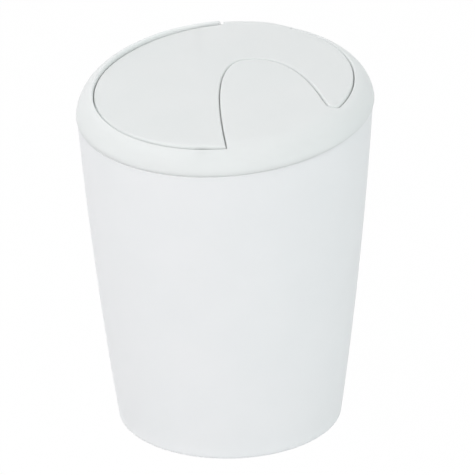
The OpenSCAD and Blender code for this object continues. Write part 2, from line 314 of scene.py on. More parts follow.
@dataclass(frozen=True)
class Swirl:
    """Plan of the opening's edge in lid coordinates, in millimetres and degrees.

    It starts at the tip on the front of the circle, rises along the tongue's straight edge, turns over its
    top, falls to the round tail on the right, and comes back to the tip along the circle.
    """

    CURVE_STEPS = 400
    TAIL_STEPS = 80
    CIRCLE_STEPS = 1500

    sizes: BinSizes
    tip_x: float = 0.6
    tip_heading: float = 5.4
    tip_reach: float = 48.4
    top_x: float = 12.0
    top_y: float = 20.4
    top_reach_left: float = 15.2
    top_reach_right: float = 25.6
    tail_r: float = 3.2
    tail_bearing: float = -30.5
    tail_entry: float = 202.0
    tail_reach: float = 8.5
    fan_bearing: float = -46.0
    fan_spread: float = 0.45

    @staticmethod
    def _cubic(p: Sequence[Array], off: Array, t: Array) -> Array:
        """Points of a cubic curve, each moved to its left.

        Args:
            p: the curve's four control points.
            off: distance to the left for each point.
            t: places along the curve, from 0 to 1.

        Returns:
            The moved points, by the Bernstein form and its derivative.
        """
        s = 1 - t
        point = (s**3)[:, None] * p[0] + (3 * s**2 * t)[:, None] * p[1] \
            + (3 * s * t**2)[:, None] * p[2] + (t**3)[:, None] * p[3]
        along = (s**2)[:, None] * (p[1] - p[0]) + (2 * s * t)[:, None] * (p[2] - p[1]) \
            + (t**2)[:, None] * (p[3] - p[2])
        along /= np.linalg.norm(along, axis=1, keepdims=True)
        return point + off[:, None] * np.stack([-along[:, 1], along[:, 0]], axis=1)

    def outline(self, tip_gap: float, swirl_gap: float, gap: float, soften: float,
                spacing: float = 0.2) -> "Outline":
        """Closed outline of the opening, shrunk by a gap, with the flap's side on its left.

        Args:
            tip_gap: gap at the tip of the tongue's edge.
            swirl_gap: gap at the top of the S-shaped line.
            gap: gap round the tail and along the circle.
            soften: width of the Gaussian filter that rounds the corner at the tip.
            spacing: distance between the outline's points.

        Returns:
            The outline, starting at the tip.
        """
        radius = self.sizes.opening_r
        tip_angle = -math.degrees(math.acos(self.tip_x / radius))
        heading = math.radians(self.tip_heading)
        tip = radius * np.array([math.cos(math.radians(tip_angle)), math.sin(math.radians(tip_angle))])
        ahead = np.array([-math.sin(heading), math.cos(heading)])
        top = np.array([self.top_x, self.top_y])
        tail_mid = (radius - self.tail_r) * self.ray(self.tail_bearing)
        entry = self.ray(self.tail_entry)
        tail_start = tail_mid + self.tail_r * entry
        rise = [tip, tip + self.tip_reach * ahead, top - [self.top_reach_left, 0.0], top]
        fall = [top, top + [self.top_reach_right, 0.0],
                tail_start - self.tail_reach * np.array([-entry[1], entry[0]]), tail_start]
        t = np.linspace(0.0, 1.0, self.CURVE_STEPS)
        rising = self._cubic(rise, tip_gap + (swirl_gap - tip_gap) * t, t)
        falling = self._cubic(fall, swirl_gap + (gap - swirl_gap) * t, t)
        inner_r = radius - gap
        inside = np.hypot(rising[:, 0], rising[:, 1]) < inner_r - TINY
        rising = rising[np.argmax(inside):]
        tail_angles = np.linspace(self.tail_entry, 360 + self.tail_bearing, self.TAIL_STEPS)
        tail = tail_mid + (self.tail_r - gap) * self.ray(tail_angles)
        start_bearing = math.degrees(math.atan2(rising[0, 1], rising[0, 0]))
        circle_bearings = np.linspace(self.tail_bearing, start_bearing + 360, self.CIRCLE_STEPS)
        circle = inner_r * self.ray(circle_bearings)
        curve = np.concatenate([rising, falling[1:]])
        run = self.lengths(curve)
        fan = np.concatenate([
            start_bearing + (self.fan_bearing - start_bearing) * (run / run[-1]) ** self.fan_spread,
            np.linspace(self.fan_bearing, self.tail_bearing, len(tail))[1:],
            circle_bearings[1:],
        ])
        raw = np.concatenate([curve, tail[1:], circle[1:]])
        return Outline.from_points(raw, fan, soften, spacing)

    @staticmethod
    def ray(bearing: Array) -> Array:
        """Unit vectors in the plan at bearings in degrees."""
        angle = np.radians(bearing)
        return np.stack([np.cos(angle), np.sin(angle)], axis=-1)

    @staticmethod
    def lengths(points: Array) -> Array:
        """Running length along a row of points."""
        steps = np.linalg.norm(np.diff(points, axis=0), axis=1)
        return np.concatenate([[0.0], np.cumsum(steps)])


@dataclass(frozen=True)
class Outline:
    """A closed plan outline: points, unit normals to the left, and the fan bearing of each point."""

    points: Array
    left: Array
    fan: Array
    length: float

    @classmethod
    def from_points(cls, raw: Array, fan: Array, soften: float, spacing: float) -> "Outline":
        """Resamples a closed row of points evenly and rounds its corners with a Gaussian filter.

        Args:
            raw: points of the closed outline, in order.
            fan: a value for each point, carried along.
            soften: width of the filter.
            spacing: distance between the new points.

        Returns:
            The outline.
        """
        closed = np.concatenate([raw, raw[:1]])
        run = Swirl.lengths(closed)
        count = int(run[-1] / spacing)
        even = np.linspace(0.0, run[-1], count, endpoint=False)
        flat = np.interp(even, run, closed[:, 0]) + 1j * np.interp(even, run, closed[:, 1])
        waves = np.fft.fftfreq(count, d=run[-1] / count)
        flat = np.fft.ifft(np.fft.fft(flat) * np.exp(-2 * (math.pi * soften * waves) ** 2))
        along = np.roll(flat, -1) - np.roll(flat, 1)
        along /= np.abs(along)
        left = 1j * along
        fan_closed = np.concatenate([fan, fan[-1:]])
        return cls(
            np.stack([flat.real, flat.imag], axis=1),
            np.stack([left.real, left.imag], axis=1),
            np.interp(even, run, fan_closed),
            float(run[-1]),
        )

    def at(self, place: Array) -> tuple[Array, Array, Array]:
        """Points, normals and fan bearings at places along the outline, each from 0 to 1.

        Args:
            place: shares of the outline's length.

        Returns:
            (points, left normals, fan bearings).
        """
        n = len(self.points)
        index = np.asarray(place) * n
        low = np.floor(index).astype(int)
        share = (index - low)[:, None]
        a, b = low % n, (low + 1) % n
        points = self.points[a] * (1 - share) + self.points[b] * share
        left = self.left[a] * (1 - share) + self.left[b] * share
        left /= np.linalg.norm(left, axis=1, keepdims=True)
        step = self.fan[b] - self.fan[a]
        step = (step + 180) % 360 - 180
        return points, left, self.fan[a] + step * share[:, 0]


# ---------------------------------------------------------------------------
# Finishes
# ---------------------------------------------------------------------------


class ShaderKit:
    """Shader node groups that several finishes share."""

    MIX_A, MIX_B, MIX_RESULT = 6, 7, 2  # the colour sockets of the mix node
    GRAIN_SCALE, GRAIN_DETAIL, GRAIN_SHARE = 2400.0, 3.0, 0.35
    FLOW_SCALE, FLOW_DETAIL, FLOW_ROUGHNESS = 30.0, 4.0, 0.45
    DRIFT_FROM, DRIFT_TO = 0.35, 0.65

    @staticmethod
    def _group(name: str, inputs: Sequence[tuple[str, str, float]],
               outputs: Sequence[tuple[str, str]]) -> tuple[bpy.types.NodeTree, bpy.types.Node, bpy.types.Node]:
        """Makes an empty node group with named sockets.

        Args:
            name: name of the group.
            inputs: (label, kind, default) of each input.
            outputs: (label, kind) of each output.

        Returns:
            (group, its input node, its output node).
        """
        group = bpy.data.node_groups.new(name, "ShaderNodeTree")
        for label, kind, default in inputs:
            socket = group.interface.new_socket(name=label, in_out="INPUT", socket_type=kind)
            if kind == "NodeSocketFloat":
                socket.default_value = default
        for label, kind in outputs:
            group.interface.new_socket(name=label, in_out="OUTPUT", socket_type=kind)
        start, end = group.nodes.new("NodeGroupInput"), group.nodes.new("NodeGroupOutput")
        return group, start, end

    @classmethod
    def mould_grain(cls) -> bpy.types.NodeTree:
        """Fine grain of a moulded surface: noise at two scales, as a height and a mask.

        Returns:
            The group, with inputs Vector, Grain Scale and Flow Scale, and outputs Height and Mask.
        """
        group, start, end = cls._group(
            "mould_grain",
            [("Vector", "NodeSocketVector", 0.0), ("Grain Scale", "NodeSocketFloat", cls.GRAIN_SCALE),
             ("Flow Scale", "NodeSocketFloat", cls.FLOW_SCALE)],
            [("Height", "NodeSocketFloat"), ("Mask", "NodeSocketFloat")],
        )
        links = group.links
        grain = group.nodes.new("ShaderNodeTexNoise")
        grain.inputs["Detail"].default_value = cls.GRAIN_DETAIL
        flow = group.nodes.new("ShaderNodeTexNoise")
        flow.inputs["Detail"].default_value = cls.FLOW_DETAIL
        flow.inputs["Roughness"].default_value = cls.FLOW_ROUGHNESS
        blend = group.nodes.new("ShaderNodeMath")
        blend.operation = "MULTIPLY_ADD"
        blend.inputs[1].default_value = cls.GRAIN_SHARE
        for noise, scale in ((grain, "Grain Scale"), (flow, "Flow Scale")):
            links.new(start.outputs["Vector"], noise.inputs["Vector"])
            links.new(start.outputs[scale], noise.inputs["Scale"])
        links.new(grain.outputs["Fac"], blend.inputs[0])
        links.new(flow.outputs["Fac"], blend.inputs[2])
        links.new(blend.outputs[0], end.inputs["Height"])
        links.new(flow.outputs["Fac"], end.inputs["Mask"])
        return group

    @classmethod
    def tone_drift(cls) -> bpy.types.NodeTree:
        """Slow drift between two tones of one colour, driven by a mask.

        Returns:
            The group, with inputs Mask, Light and Dark, and output Color.
        """
        group, start, end = cls._group(
            "tone_drift",
            [("Mask", "NodeSocketFloat", 0.5), ("Light", "NodeSocketColor", 0.0),
             ("Dark", "NodeSocketColor", 0.0)],
            [("Color", "NodeSocketColor")],
        )
        spread = group.nodes.new("ShaderNodeMapRange")
        spread.inputs["From Min"].default_value = cls.DRIFT_FROM
        spread.inputs["From Max"].default_value = cls.DRIFT_TO
        mix = group.nodes.new("ShaderNodeMix")
        mix.data_type = "RGBA"
        group.links.new(start.outputs["Mask"], spread.inputs["Value"])
        group.links.new(spread.outputs["Result"], mix.inputs["Factor"])
        group.links.new(start.outputs["Dark"], mix.inputs[cls.MIX_A])
        group.links.new(start.outputs["Light"], mix.inputs[cls.MIX_B])
        group.links.new(mix.outputs[cls.MIX_RESULT], end.inputs["Color"])
        return group


@dataclass(frozen=True)
class MouldedPlastic:
    """Satin white moulded polypropylene, through which a little light comes.

    The colour drifts between two near tones, the roughness between two values, both on a slow noise; the bump
    is the fine grain of the mould.
    """

    name: str
    light: tuple[float, float, float]
    dark: tuple[float, float, float]
    rough_low: float = 0.40
    rough_high: float = 0.50
    mask_low: float = 0.3
    mask_high: float = 0.7
    grain_scale: float = 2400.0
    flow_scale: float = 30.0
    grain_depth: float = 0.00002
    bump: float = 0.25
    specular: float = 0.25
    ior: float = 1.49
    glow_through: float = 0.4
    glow_reach: float = 0.008

    def material(self, grain: bpy.types.NodeTree, drift: bpy.types.NodeTree) -> bpy.types.Material:
        """Builds the material from the shared groups.

        Args:
            grain: the mould_grain group.
            drift: the tone_drift group.

        Returns:
            The finished material.
        """
        material = bpy.data.materials.new(self.name)
        material.use_nodes = True
        tree = material.node_tree
        shader = tree.nodes["Principled BSDF"]
        shader.inputs["Specular IOR Level"].default_value = self.specular
        shader.inputs["IOR"].default_value = self.ior
        shader.inputs["Subsurface Weight"].default_value = self.glow_through
        shader.inputs["Subsurface Radius"].default_value = (1.0, 1.0, 1.0)
        shader.inputs["Subsurface Scale"].default_value = self.glow_reach
        place = tree.nodes.new("ShaderNodeTexCoord")
        mould = tree.nodes.new("ShaderNodeGroup")
        mould.node_tree = grain
        mould.inputs["Grain Scale"].default_value = self.grain_scale
        mould.inputs["Flow Scale"].default_value = self.flow_scale
        tone = tree.nodes.new("ShaderNodeGroup")
        tone.node_tree = drift
        tone.inputs["Light"].default_value = (*self.light, 1.0)
        tone.inputs["Dark"].default_value = (*self.dark, 1.0)
        rough = tree.nodes.new("ShaderNodeMapRange")
        rough.inputs["From Min"].default_value = self.mask_low
        rough.inputs["From Max"].default_value = self.mask_high
        rough.inputs["To Min"].default_value = self.rough_low
        rough.inputs["To Max"].default_value = self.rough_high
        bump = tree.nodes.new("ShaderNodeBump")
        bump.inputs["Strength"].default_value = self.bump
        bump.inputs["Distance"].default_value = self.grain_depth
        links = tree.links
        links.new(place.outputs["Object"], mould.inputs["Vector"])
        links.new(mould.outputs["Mask"], tone.inputs["Mask"])
        links.new(tone.outputs["Color"], shader.inputs["Base Color"])
        links.new(mould.outputs["Mask"], rough.inputs["Value"])
        links.new(rough.outputs["Result"], shader.inputs["Roughness"])
        links.new(mould.outputs["Height"], bump.inputs["Height"])
        links.new(bump.outputs["Normal"], shader.inputs["Normal"])
        return material


@dataclass(frozen=True)
class BrushedSteel:
    """Drawn or sawn steel, with fine lines along one direction."""

    name: str
    light: tuple[float, float, float] = (0.62, 0.63, 0.65)
    dark: tuple[float, float, float] = (0.46, 0.47, 0.49)
    line_scale: tuple[float, float, float] = (2200.0, 160.0, 2200.0)
    grain_scale: float = 1.0
    flow_scale: float = 0.3
    rough_low: float = 0.26
    rough_high: float = 0.44

    def material(self, grain: bpy.types.NodeTree, drift: bpy.types.NodeTree) -> bpy.types.Material:
        """Builds the material from the shared groups.

        Args:
            grain: the mould_grain group.
            drift: the tone_drift group.

        Returns:
            The finished material.
        """
        material = bpy.data.materials.new(self.name)
        material.use_nodes = True
        tree = material.node_tree
        shader = tree.nodes["Principled BSDF"]
        shader.inputs["Metallic"].default_value = 1.0
        place = tree.nodes.new("ShaderNodeTexCoord")
        stretch = tree.nodes.new("ShaderNodeMapping")
        stretch.inputs["Scale"].default_value = self.line_scale
        lines = tree.nodes.new("ShaderNodeGroup")
        lines.node_tree = grain
        lines.inputs["Grain Scale"].default_value = self.grain_scale
        lines.inputs["Flow Scale"].default_value = self.flow_scale
        tone = tree.nodes.new("ShaderNodeGroup")
        tone.node_tree = drift
        tone.inputs["Light"].default_value = (*self.light, 1.0)
        tone.inputs["Dark"].default_value = (*self.dark, 1.0)
        rough = tree.nodes.new("ShaderNodeMapRange")
        rough.inputs["To Min"].default_value = self.rough_low
        rough.inputs["To Max"].default_value = self.rough_high
        links = tree.links
        links.new(place.outputs["Object"], stretch.inputs["Vector"])
        links.new(stretch.outputs["Vector"], lines.inputs["Vector"])
        links.new(lines.outputs["Mask"], tone.inputs["Mask"])
        links.new(tone.outputs["Color"], shader.inputs["Base Color"])
        links.new(lines.outputs["Height"], rough.inputs["Value"])
        links.new(rough.outputs["Result"], shader.inputs["Roughness"])
        return material


# ---------------------------------------------------------------------------
# The bucket
# ---------------------------------------------------------------------------


@dataclass
class Bucket(SubAssembly):
    """Tapered round bucket with a slanted mouth and a foot ring, in millimetres."""

    BODY, SLOT, NODE = Body.BUCKET, Slot.BUCKET, "bucket"
    FOOT_STEPS, RIM_STEPS, INNER_STEPS = 7, 6, 4

    sizes: BinSizes
    wall: float = 2.0
    floor_t: float = 2.5
    foot_lift: float = 1.5
    foot_ring_w: float = 4.0
    foot_step: float = 0.5
    foot_chamfer: float = 0.3
    foot_edge_r: float = 1.2
    rim_edge_r: float = 0.14
    rim_inner_r: float = 0.3
    floor_fillet_r: float = 3.0
    columns: int = 288
    wall_rows: int = 48

    def _rim(self, sin_a: Array, inset: float) -> tuple[Array, Array]:
        """Finds where the wall meets the mouth plane, by repeated substitution.

        Args:
            sin_a: sine of each column's bearing.
            inset: distance by which the wall is moved in.

        Returns:
            (radii, heights).
        """
        z = np.full_like(sin_a, self.sizes.mouth_h)
        for _ in range(RIM_SOLVE_STEPS):
            z = self.sizes.mouth_z((self.sizes.bucket_r(z) - inset) * sin_a)
        return self.sizes.bucket_r(z) - inset, z

    def build(self) -> bpy.types.Object:
        """Revolves the wall's profile; each column ends where it meets the slanted mouth.

        Returns:
            The bucket's object.
        """
        angle = np.linspace(0.0, 2 * math.pi, self.columns, endpoint=False)
        cos_a, sin_a = np.cos(angle), np.sin(angle)
        one = np.ones_like(angle)
        foot_in = self.sizes.foot_r - self.foot_ring_w
        inner_floor = self.foot_lift + self.floor_t
        rows: list[tuple[Array, Array]] = [(0 * one, self.foot_lift * one)]
        for r, z in ((foot_in / 2, self.foot_lift), (foot_in - self.foot_step, self.foot_lift),
                     (foot_in, self.foot_lift - self.foot_step), (foot_in, self.foot_chamfer),
                     (foot_in + self.foot_chamfer, 0.0)):
            rows.append((r * one, z * one))
        edge, fillet, rim = self.foot_edge_r, self.floor_fillet_r, self.rim_edge_r
        for turn in np.linspace(0.0, math.pi / 2, self.FOOT_STEPS):
            r = self.sizes.bucket_r(edge) - edge + edge * math.sin(turn)
            rows.append((r * one, (edge - edge * math.cos(turn)) * one))
        _, rim_z = self._rim(sin_a, 0.0)
        for t in shares(self.wall_rows):
            z = edge + (rim_z - rim - edge) * t
            rows.append((self.sizes.bucket_r(z), z))
        for turn in quarter(self.RIM_STEPS):
            rim_r, z = self._rim(sin_a, rim * (1 - math.cos(turn)))
            rows.append((rim_r, z - rim * (1 - math.sin(turn))))
        inner = self.rim_inner_r
        for turn in np.linspace(0.0, math.pi / 2, self.INNER_STEPS):
            rim_r, z = self._rim(sin_a, self.wall - inner * (1 - math.sin(turn)))
            rows.append((rim_r, z - inner * (1 - math.cos(turn))))
        _, low_z = self._rim(sin_a, self.wall)
        for t in shares(self.wall_rows):
            z = low_z - inner + (inner_floor + fillet - low_z + inner) * t
            rows.append((self.sizes.bucket_r(z) - self.wall, z))
        side_r = self.sizes.bucket_r(inner_floor + fillet) - self.wall
        for turn in quarter(self.FOOT_STEPS):
            r = side_r - fillet * (1 - math.cos(turn))
            rows.append((r * one, (inner_floor + fillet - fillet * math.sin(turn)) * one))
        rows += [(side_r / 2 * one, inner_floor * one), (0 * one, inner_floor * one)]
        grid = np.stack([np.stack([r * cos_a, r * sin_a, z], axis=-1) for r, z in rows])
        return MeshKit.build("bucket_shell", [(grid, False, True)])


# ---------------------------------------------------------------------------
# The lid ring
# ---------------------------------------------------------------------------


@dataclass
class LidRing(SubAssembly):
    """Lid ring with its tongue, raised left rim, collar, seat and plug skirt, in millimetres and degrees."""

    BODY, SLOT, NODE = Body.LID, Slot.LID_RING, "lid_ring"
    BEND_PULL, BEND_LIMIT = 3.0, 4.0
    REAR_FROM, RECESS_TO, REAR_TO = 90.0, 120.0, 150.0
    STEP_SPREAD = (0.46, 0.54)
    STEP_COLUMNS = {"recess": 2, "high": 7}
    BACK_SHARES = (0.5, 0.93, 1.0)
    SEAM_GUESS, INSIDE_GUESS = 80.0, 70.0
    EDGE_STEPS, SEAM_STEPS, LUG_COLUMNS = 8, 5, 40
    CROWN_ROWS, SHOULDER_ROWS, INSIDE_ROWS, UNDER_ROWS = 19, 27, 9, 7

    sizes: BinSizes
    swirl: Swirl
    wall: float = 2.2
    rim_climb: float = 1.6
    rim_end_r: float = 12.0
    rim_end_reach: float = 9.0
    ledge_h: float = 8.75
    ledge_t: float = 2.2
    ledge_from: float = 56.0
    collar_t: float = 1.6
    collar_base: float = 3.0
    edge_w: float = 0.9
    edge_drop: float = 1.5
    crown_share: float = 0.3
    seam_edge_r: float = 0.12
    skirt_depth: float = 8.0
    skirt_t: float = 1.6
    skirt_inset: float = 2.3
    skirt_chamfer: float = 0.4
    seat_t: float = 2.0
    seat_bevel: float = 0.2
    corner_soft: float = 0.35
    spacing: float = 0.6
    lug_r: float = 2.8
    lug_from: float = 1.0
    lug_to: float = 5.6
    lug_least: float = 0.8
    lug_sink: float = 0.15
    rib_bearings: tuple[float, ...] = (-78.0, -60.0, -42.0)
    rib_t: float = 1.4
    rib_gap: float = 0.6
    rib_lift: float = 2.0
    rib_drop: float = 1.2

    def build(self) -> bpy.types.Object:
        """Carries a closed section round the opening: collar, crown, shoulder, seam, skirt and inside.

        Returns:
            The lid ring's object.
        """
        c = self._columns()
        rows = self._edge_rows(c) + self._crown_rows(c) + self._shoulder_rows(c)
        rows += self._skirt_rows(c) + self._inside_rows(c)
        return MeshKit.build("lid_ring_shell", [(np.stack(rows), True, True)] + self._lugs() + self._ribs())

    def _places(self, outline: Outline) -> Array:
        """Places of the columns: closer together where the outline bends and at the rim's steps.

        Args:
            outline: the opening's outline.

        Returns:
            Shares of the outline's length.
        """
        n = len(outline.points)
        left = outline.left[:, 0] + 1j * outline.left[:, 1]
        bend = np.abs(np.angle(left / np.roll(left, 1))) * n / outline.length
        weight = 1.0 + np.minimum(bend * self.BEND_PULL, self.BEND_LIMIT)
        run = np.concatenate([[0.0], np.cumsum(weight)])
        count = int(outline.length / self.spacing * run[-1] / n)
        return np.interp(np.linspace(0, run[-1], count, endpoint=False), run, np.arange(n + 1)) / n

    def _columns(self) -> Columns:
        """Plan data of every column.

        Returns:
            The edge's points and outward normals, fan bearings and their unit vectors, the shares of the raised
            rim and of the recess, the points beside the rounded edge, the radius where the crown's rows end, and
            the radius and shoulder angle of the seam.
        """
        s = self.sizes
        outline = self.swirl.outline(0.0, 0.0, 0.0, self.corner_soft)
        edge, left, fan = outline.at(self._places(outline))
        high = (fan > self.REAR_FROM) & (edge[:, 0] < s.hinge_x + self.rim_end_r)
        recess = (fan > self.ledge_from) & ~high & (fan < self.RECESS_TO)
        c = self._insert_steps({"edge": edge, "out": -left, "fan": fan, "high": high.astype(float),
                                "recess": recess.astype(float)})
        c["ray"] = Swirl.ray(c["fan"])
        c["shy"] = c["edge"] + c["out"] * self.edge_w
        shy_r = np.hypot(c["shy"][:, 0], c["shy"][:, 1])
        c["mid_r"] = np.maximum(s.shoulder_flat_r, shy_r + self.crown_share * (s.ring_r - shy_r))
        c["seam_turn"] = self._meet(c, s.shoulder_r, self.seam_edge_r, self.SEAM_GUESS)
        c["seam_r"] = s.shoulder_flat_r + s.shoulder_r * np.sin(c["seam_turn"])
        return c

    def _insert_steps(self, c: Columns) -> Columns:
        """Adds columns at the ends of the recess and of the raised rim, so that their steps are crisp walls.

        Args:
            c: the columns' data.

        Returns:
            The data with the added columns.
        """
        for key, count in self.STEP_COLUMNS.items():
            flags = c[key]
            jumps = [i for i in range(len(flags) - 1)
                     if flags[i] != flags[i + 1] and c["fan"][i] > 0 and c["fan"][i + 1] < self.REAR_TO]
            if key == "recess":
                jumps = jumps[:1]
            share = np.linspace(0.0, 1.0, count)
            nudge = np.linspace(*self.STEP_SPREAD, count)
            for i in jumps[::-1]:
                for name in list(c):
                    a, b = c[name][i], c[name][i + 1]
                    if name in self.STEP_COLUMNS:
                        extra = a + (b - a) * share
                    else:
                        weight = nudge.reshape((-1,) + (1,) * np.ndim(a))
                        extra = a * (1 - weight) + b * weight
                    c[name] = np.concatenate([c[name][:i + 1], extra, c[name][i + 1:]])
        return c

    def _row(self, c: Columns, p: Array, z: Array) -> Array:
        """One row of points; the raised rim's rear end is drawn back to a cylinder about the hinge line.

        Args:
            c: the columns' data.
            p: plan points in lid coordinates, one for each column.
            z: their heights.

        Returns:
            The points in the object's frame.
        """
        s, reach = self.sizes, self.rim_end_reach
        x, y = p[:, 0], p[:, 1]
        over = np.clip(z - s.hinge_h, 0.0, self.rim_end_r * NEARLY_ONE)
        draw = self.rim_end_r - np.sqrt(self.rim_end_r**2 - over**2)
        end_x = s.hinge_x + self.rim_end_r
        share = np.clip((x - end_x + reach) / reach, 0.0, 1.0) * (c["high"] > 0) * (y > 0)
        moved = x - draw * share
        on_circle = np.sqrt(np.maximum(np.hypot(x, y) ** 2 - moved**2, 0.0))
        return s.lid_to_object(moved, np.where(share > 0, on_circle, y), z)

    def _climb(self, y: Array) -> Array:
        """Rise of the raised rim, which grows towards the rear from a line across the front."""
        reach = self.sizes.opening_r
        return self.rim_climb / (2 * reach) * np.maximum(y + reach, 0.0)

    def _skin(self, c: Columns, p: Array, wall: float = 0.0, ledge: float = 0.0) -> Array:
        """Height of the ring's surface: flat, then a circular shoulder, with the rim's climb and the recess.

        Args:
            c: the columns' data.
            p: plan points in lid coordinates, one for each column.
            wall: depth below the outer surface, for the inner one.
            ledge: depth below the recess's ledge, for the inner one.

        Returns:
            Heights in lid coordinates.
        """
        s = self.sizes
        arc = s.shoulder_r - wall
        out = np.clip(np.hypot(p[:, 0], p[:, 1]) - s.shoulder_flat_r, 0.0, arc)
        skin = s.shoulder_mid_h + np.sqrt(np.maximum(arc**2 - out**2, 0.0)) + c["high"] * self._climb(p[:, 1])
        return skin - c["recess"] * np.maximum(skin - (self.ledge_h - ledge), 0.0)

    def _meet(self, c: Columns, arc: float, lift: float, guess: float) -> Array:
        """Finds the angle down the shoulder at which an arc stands lift above the mouth plane.

        Args:
            c: the columns' data.
            arc: radius of the arc.
            lift: height above the mouth plane.
            guess: angle to start from, in degrees.

        Returns:
            Angles from the vertical in radians, by repeated substitution.
        """
        s = self.sizes
        turn = np.full(len(c["ray"]), math.radians(guess))
        for _ in range(SOLVE_STEPS):
            p = c["ray"] * (s.shoulder_flat_r + arc * np.sin(turn))[:, None]
            drop = s.mouth_in_lid(p[:, 0], p[:, 1]) + lift - s.shoulder_mid_h - c["high"] * self._climb(p[:, 1])
            turn = np.arccos(np.clip(drop / arc, 0.0, 1.0))
        return turn

    def _edge_rows(self, c: Columns) -> list[Array]:
        """Rows up the collar's inner side and over the opening's rounded edge.

        Args:
            c: the columns' data.

        Returns:
            The rows of points.
        """
        wall_h = self._skin(c, c["shy"]) - self.edge_drop
        heights = (np.full_like(wall_h, self.collar_base), (self.collar_base + wall_h) / 2, wall_h)
        rows = [self._row(c, c["edge"], z) for z in heights]
        for turn in quarter(self.EDGE_STEPS):
            p = c["edge"] + c["out"] * self.edge_w * (1 - math.cos(turn))
            rows.append(self._row(c, p, wall_h + self.edge_drop * math.sin(turn)))
        return rows

    def _crown_rows(self, c: Columns) -> list[Array]:
        """Rows from the rounded edge out to where the shoulder's own rows begin.

        Args:
            c: the columns' data.

        Returns:
            The rows of points.
        """
        mid = c["ray"] * c["mid_r"][:, None]
        points = [c["shy"] * (1 - t) + mid * t for t in shares(self.CROWN_ROWS)]
        return [self._row(c, p, self._skin(c, p)) for p in points]

    def _shoulder_rows(self, c: Columns) -> list[Array]:
        """Rows down the shoulder's arc and round the lower edge, evenly spaced in angle.

        Args:
            c: the columns' data.

        Returns:
            The rows of points.
        """
        s, ray, high, rows = self.sizes, c["ray"], c["high"], []
        start_turn = np.arcsin(np.clip((c["mid_r"] - s.shoulder_flat_r) / s.shoulder_r, 0.0, 1.0))
        for t in shares(self.SHOULDER_ROWS):
            turn = start_turn + (c["seam_turn"] - start_turn) * t
            p = ray * (s.shoulder_flat_r + s.shoulder_r * np.sin(turn))[:, None]
            z = s.shoulder_mid_h + s.shoulder_r * np.cos(turn) + high * self._climb(p[:, 1])
            rows.append(self._row(c, p, z - c["recess"] * np.maximum(z - self.ledge_h, 0.0)))
        p = ray * c["seam_r"][:, None]
        floor_z = s.mouth_in_lid(p[:, 0], p[:, 1])
        top_z = s.shoulder_mid_h + s.shoulder_r * np.cos(c["seam_turn"]) + high * self._climb(p[:, 1])
        round_r = self.seam_edge_r
        for t in (0.5, 1.0):
            rows.append(self._row(c, p, top_z + (floor_z + round_r - HAIR - top_z) * t))
        for turn in quarter(self.SEAM_STEPS):
            q = ray * (c["seam_r"] - round_r * (1 - math.cos(turn)))[:, None]
            rows.append(self._row(c, q, floor_z + round_r * (1 - math.sin(turn))))
        return rows

    def _skirt_rows(self, c: Columns) -> list[Array]:
        """Rows over the seat's underside and round the plug skirt, which stands upright.

        Args:
            c: the columns' data.

        Returns:
            The rows of points.
        """
        s = self.sizes
        p = c["ray"] * c["seam_r"][:, None]
        flat = s.lid_to_object(p[:, 0], p[:, 1], s.mouth_in_lid(p[:, 0], p[:, 1]))
        angle = np.arctan2(flat[:, 1], flat[:, 0])
        sin_a, cos_a = np.sin(angle), np.cos(angle)
        tilt = math.cos(math.radians(s.mouth_tilt))

        def upright(inset: float, lift: float) -> Array:
            """Points on the bucket's side, moved in, at a distance above the mouth plane.

            Args:
                inset: distance by which the side is moved in.
                lift: distance above the mouth plane, square to it.

            Returns:
                A row of points in the object's frame.
            """
            z = np.full_like(sin_a, s.mouth_h)
            for _ in range(RIM_SOLVE_STEPS):
                z = s.mouth_z((s.bucket_r(z) - inset) * sin_a) + lift / tilt
            r = s.bucket_r(z) - inset
            return np.stack([r * cos_a, r * sin_a, z], axis=-1)

        depth, chamfer, bevel = self.skirt_depth, self.skirt_chamfer, self.seat_bevel
        outer, inner = self.skirt_inset, self.skirt_inset + self.skirt_t
        section = (
            (outer, 0.0), (outer, -depth / 2), (outer, chamfer - depth), (outer + chamfer, -depth),
            (inner - chamfer, -depth), (inner, chamfer - depth), (inner, -depth / 2), (inner, 0.0),
            (inner, self.seat_t - bevel), (inner - bevel, self.seat_t),
        )
        return [upright(inset, lift) for inset, lift in section]

    def _inside_rows(self, c: Columns) -> list[Array]:
        """Rows up the shell's inside, under the crown and down the collar's outer side.

        Args:
            c: the columns' data.

        Returns:
            The rows of points.
        """
        s, rows = self.sizes, []
        arc = s.shoulder_r - self.wall
        turn = self._meet(c, arc, self.seat_t, self.INSIDE_GUESS)
        end_turn = np.arcsin(np.clip((c["mid_r"] - s.shoulder_flat_r) / arc, 0.0, 1.0))
        end_turn = np.minimum(end_turn, turn)
        for t in np.linspace(0.0, 1.0, self.INSIDE_ROWS):
            at = turn + (end_turn - turn) * t
            p = c["ray"] * (s.shoulder_flat_r + arc * np.sin(at))[:, None]
            rows.append(self._row(c, p, self._skin(c, p, self.wall, self.ledge_t)))
        mid = c["ray"] * c["mid_r"][:, None]
        back = c["edge"] + c["out"] * self.collar_t
        for t in shares(self.UNDER_ROWS):
            p = mid * (1 - t) + back * t
            rows.append(self._row(c, p, self._skin(c, p, self.wall, self.ledge_t)))
        back_z = self._skin(c, back, self.wall, self.ledge_t)
        return rows + [self._row(c, back, back_z + (self.collar_base - back_z) * t) for t in self.BACK_SHARES]

